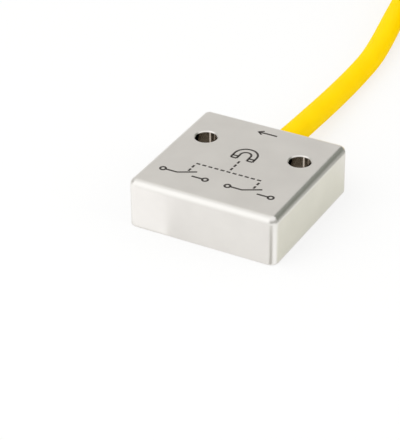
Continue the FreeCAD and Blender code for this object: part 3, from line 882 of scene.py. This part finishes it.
def view_camera():
    """Camera at the photograph's viewpoint."""
    azimuth, elevation = math.radians(VIEW_AZIMUTH), math.radians(VIEW_ELEVATION)
    roll = math.radians(VIEW_ROLL)
    flat = math.cos(elevation)
    back = Vector((math.sin(azimuth) * flat, -math.cos(azimuth) * flat, math.sin(elevation)))
    right = Vector((math.cos(azimuth), math.sin(azimuth), 0))
    up = back.cross(right)
    rolled = right * math.cos(roll) + up * math.sin(roll)
    upright = up * math.cos(roll) - right * math.sin(roll)
    data = bpy.data.cameras.new("view")
    data.lens = VIEW_LENS
    made = bpy.data.objects.new("view", data)
    bpy.context.scene.collection.objects.link(made)
    turn = Matrix((rolled, upright, back)).transposed().to_4x4()
    made.matrix_world = Matrix.Translation(VIEW_PLACE) @ turn
    bpy.context.scene.camera = made


def seen_rays(tree, direct=1.0, gloss=1.0):
    """1 for rays through glass, and the given shares of 1 for rays from the camera and from gloss."""
    path = node(tree, "ShaderNodeLightPath")
    seen = node(tree, "ShaderNodeMath", {0: path.outputs["Is Camera Ray"], 1: direct}, operation="MULTIPLY")
    share = node(tree, "ShaderNodeMath", {0: path.outputs["Is Glossy Ray"], 1: gloss}, operation="MULTIPLY")
    first = {0: seen.outputs[0], 1: share.outputs[0]}
    either = node(tree, "ShaderNodeMath", first, operation="MAXIMUM").outputs[0]
    second = {0: either, 1: path.outputs["Is Transmission Ray"]}
    return node(tree, "ShaderNodeMath", second, operation="MAXIMUM").outputs[0]


def white_surroundings():
    """World that is white where it is seen and lights the object softly from all round."""
    world = bpy.data.worlds.new("studio")
    bpy.context.scene.world = world
    world.use_nodes = True
    tree = world.node_tree
    tree.nodes.clear()
    light = node(tree, "ShaderNodeBackground", {"Color": WHITE, "Strength": WORLD_LIGHT})
    seen = node(tree, "ShaderNodeBackground", {"Color": WHITE, "Strength": 1.0})
    inputs = {0: seen_rays(tree), 1: light.outputs[0], 2: seen.outputs[0]}
    both = node(tree, "ShaderNodeMixShader", inputs)
    node(tree, "ShaderNodeOutputWorld", {"Surface": both.outputs[0]})


def studio_floor():
    """Pale floor whose white is seen as a photographer's sweep, and which keeps the object's shadow.

    Under the housing it is plain paper, so that it is dark through the screw holes.
    """
    made = bpy.data.materials.new("white_paper_sweep")
    made.use_nodes = True
    tree = made.node_tree
    tree.nodes.clear()
    paper = node(tree, "ShaderNodeBsdfDiffuse", {"Color": colour("#F4F4F2")})
    white = node(tree, "ShaderNodeEmission", {"Color": WHITE, "Strength": 1.0})
    place = node(tree, "ShaderNodeTexCoord").outputs["Object"]
    size = node(tree, "ShaderNodeVectorMath", {0: place}, operation="ABSOLUTE").outputs[0]
    parts = node(tree, "ShaderNodeSeparateXYZ", {0: size}).outputs
    reach = node(tree, "ShaderNodeMath", {0: parts["X"], 1: parts["Y"]}, operation="MAXIMUM").outputs[0]
    clear = spread(tree, reach, 0, 1, *PAPER_FADE)
    inputs = {0: seen_rays(tree, clear, FLOOR_IN_GLOSS), 1: FLOOR_WHITE}
    share = node(tree, "ShaderNodeMath", inputs, operation="MULTIPLY")
    inputs = {0: share.outputs[0], 1: paper.outputs[0], 2: white.outputs[0]}
    both = node(tree, "ShaderNodeMixShader", inputs)
    node(tree, "ShaderNodeOutputMaterial", {"Surface": both.outputs[0]})
    form = bmesh.new()
    bmesh.ops.create_grid(form, x_segments=1, y_segments=1, size=FLOOR_REACH)
    mesh = bpy.data.meshes.new("floor")
    form.to_mesh(mesh)
    form.free()
    mesh.materials.append(made)
    floor = bpy.data.objects.new("floor", mesh)
    bpy.context.scene.collection.objects.link(floor)


def softbox(name, direction, distance, size, power):
    """A square lamp that faces the object from a direction. Gloss shows the cards in its place."""
    data = bpy.data.lights.new(name, "AREA")
    data.shape = "SQUARE"
    data.size = size
    data.energy = power
    lamp = bpy.data.objects.new(name, data)
    lamp.visible_glossy = False
    bpy.context.scene.collection.objects.link(lamp)
    away = Vector(direction).normalized()
    lamp.location = away * distance
    lamp.rotation_mode = "QUATERNION"
    lamp.rotation_quaternion = away.to_track_quat("Z", "Y")


def plain(name, kind, inputs):
    """Material of a card, of one shader node."""
    made = bpy.data.materials.new(name)
    made.use_nodes = True
    tree = made.node_tree
    tree.nodes.clear()
    shown = node(tree, kind, inputs)
    node(tree, "ShaderNodeOutputMaterial", {"Surface": shown.outputs[0]})
    return made


def glow(name, shade, strength=1.0):
    """Material of a card that is one plain colour."""
    return plain(name, "ShaderNodeEmission", {"Color": colour(shade), "Strength": strength})


def gel(name, shade):
    """Material of a clear sheet that tints what is seen through it."""
    return plain(name, "ShaderNodeBsdfTransparent", {"Color": colour(shade)})


def in_gloss_only(name, rows, finish):
    """A card through two rows of points, which only gloss shows."""
    form = bmesh.new()
    lower, upper = [[form.verts.new(point) for point in row] for row in rows]
    for k in range(len(lower) - 1):
        form.faces.new((lower[k], lower[k + 1], upper[k + 1], upper[k]))
    mesh = bpy.data.meshes.new(name)
    form.to_mesh(mesh)
    form.free()
    mesh.materials.append(finish)
    piece = bpy.data.objects.new(name, mesh)
    bpy.context.scene.collection.objects.link(piece)
    piece.visible_camera = False
    piece.visible_diffuse = False
    piece.visible_transmission = False
    piece.visible_shadow = False


def card(name, turns, low, high, distance, finish):
    """A curved card round the object. Its turns go from +X towards +Y, and its edges can slope."""
    rows = []
    for first, last in (low, high):
        row = []
        for k in range(CARD_STEPS + 1):
            turn = math.radians(turns[0] + (turns[1] - turns[0]) * k / CARD_STEPS)
            height = distance * math.tan(math.radians(first + (last - first) * k / CARD_STEPS))
            row.append((distance * math.cos(turn), distance * math.sin(turn), height))
        rows.append(row)
    in_gloss_only(name, rows, finish)


def bore_glint_strip(name, side):
    """A glowing strip on one wall of a screw hole. The wall opposite shows it as a painted highlight, a
    narrow streak like a lamp's.
    """
    curve = arc(side * HOLE_X / MM, HOLE_Y / MM, STRIP_RADIUS, *STRIP_TURNS, 6)
    rows = [[(x * MM, y * MM, z * MM) for x, y in curve] for z in STRIP_HEIGHTS]
    in_gloss_only(name, rows, glow(name, "#E6DED8"))


def patch(name, finish):
    """A flat card just over the floor."""
    corners = [(x, y, PATCH_HEIGHT) for x, y in PATCHES[name]]
    in_gloss_only(name, (corners[:2], corners[2:]), finish)


def lights():
    """Softboxes overhead, in front and on the right, and cards that give the steel something to show."""
    for name, (direction, distance, size, power) in SOFTBOXES.items():
        softbox(name, direction, distance, size, power)
    for name, (turns, low, high, shade, strength, distance) in CARDS.items():
        card(name, turns, low, high, distance, glow(name, shade, strength))
    bore_glint_strip("left_bore_glint_strip", -1)
    bore_glint_strip("right_bore_glint_strip", 1)
    patch("floor_reflector", glow("floor_reflector", "#FFFFFF", 1.16))
    patch("floor_flag", glow("floor_flag", "#C6C5C0"))
    patch("corner_reflector", glow("corner_reflector", "#FFFFFF", 1.08))
    patch("floor_gel", gel("floor_gel", "#F5F6EC"))
    patch("floor_shade", glow("floor_shade", "#ABACA6"))


def main():
    """Builds the looks on the CAD frame."""
    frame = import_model()
    finishes = materials()
    dress(frame["nodes"], frame["record"], finishes)
    view_camera()
    bpy.context.scene.view_settings.view_transform = "Standard"
    top_marks(finishes)
    welded_seams(finishes)
    sheath, cores = cable(finishes)
    going_with = cores + ferrules(finishes) + [ties(finishes)]
    white_surroundings()
    studio_floor()
    lights()


main()
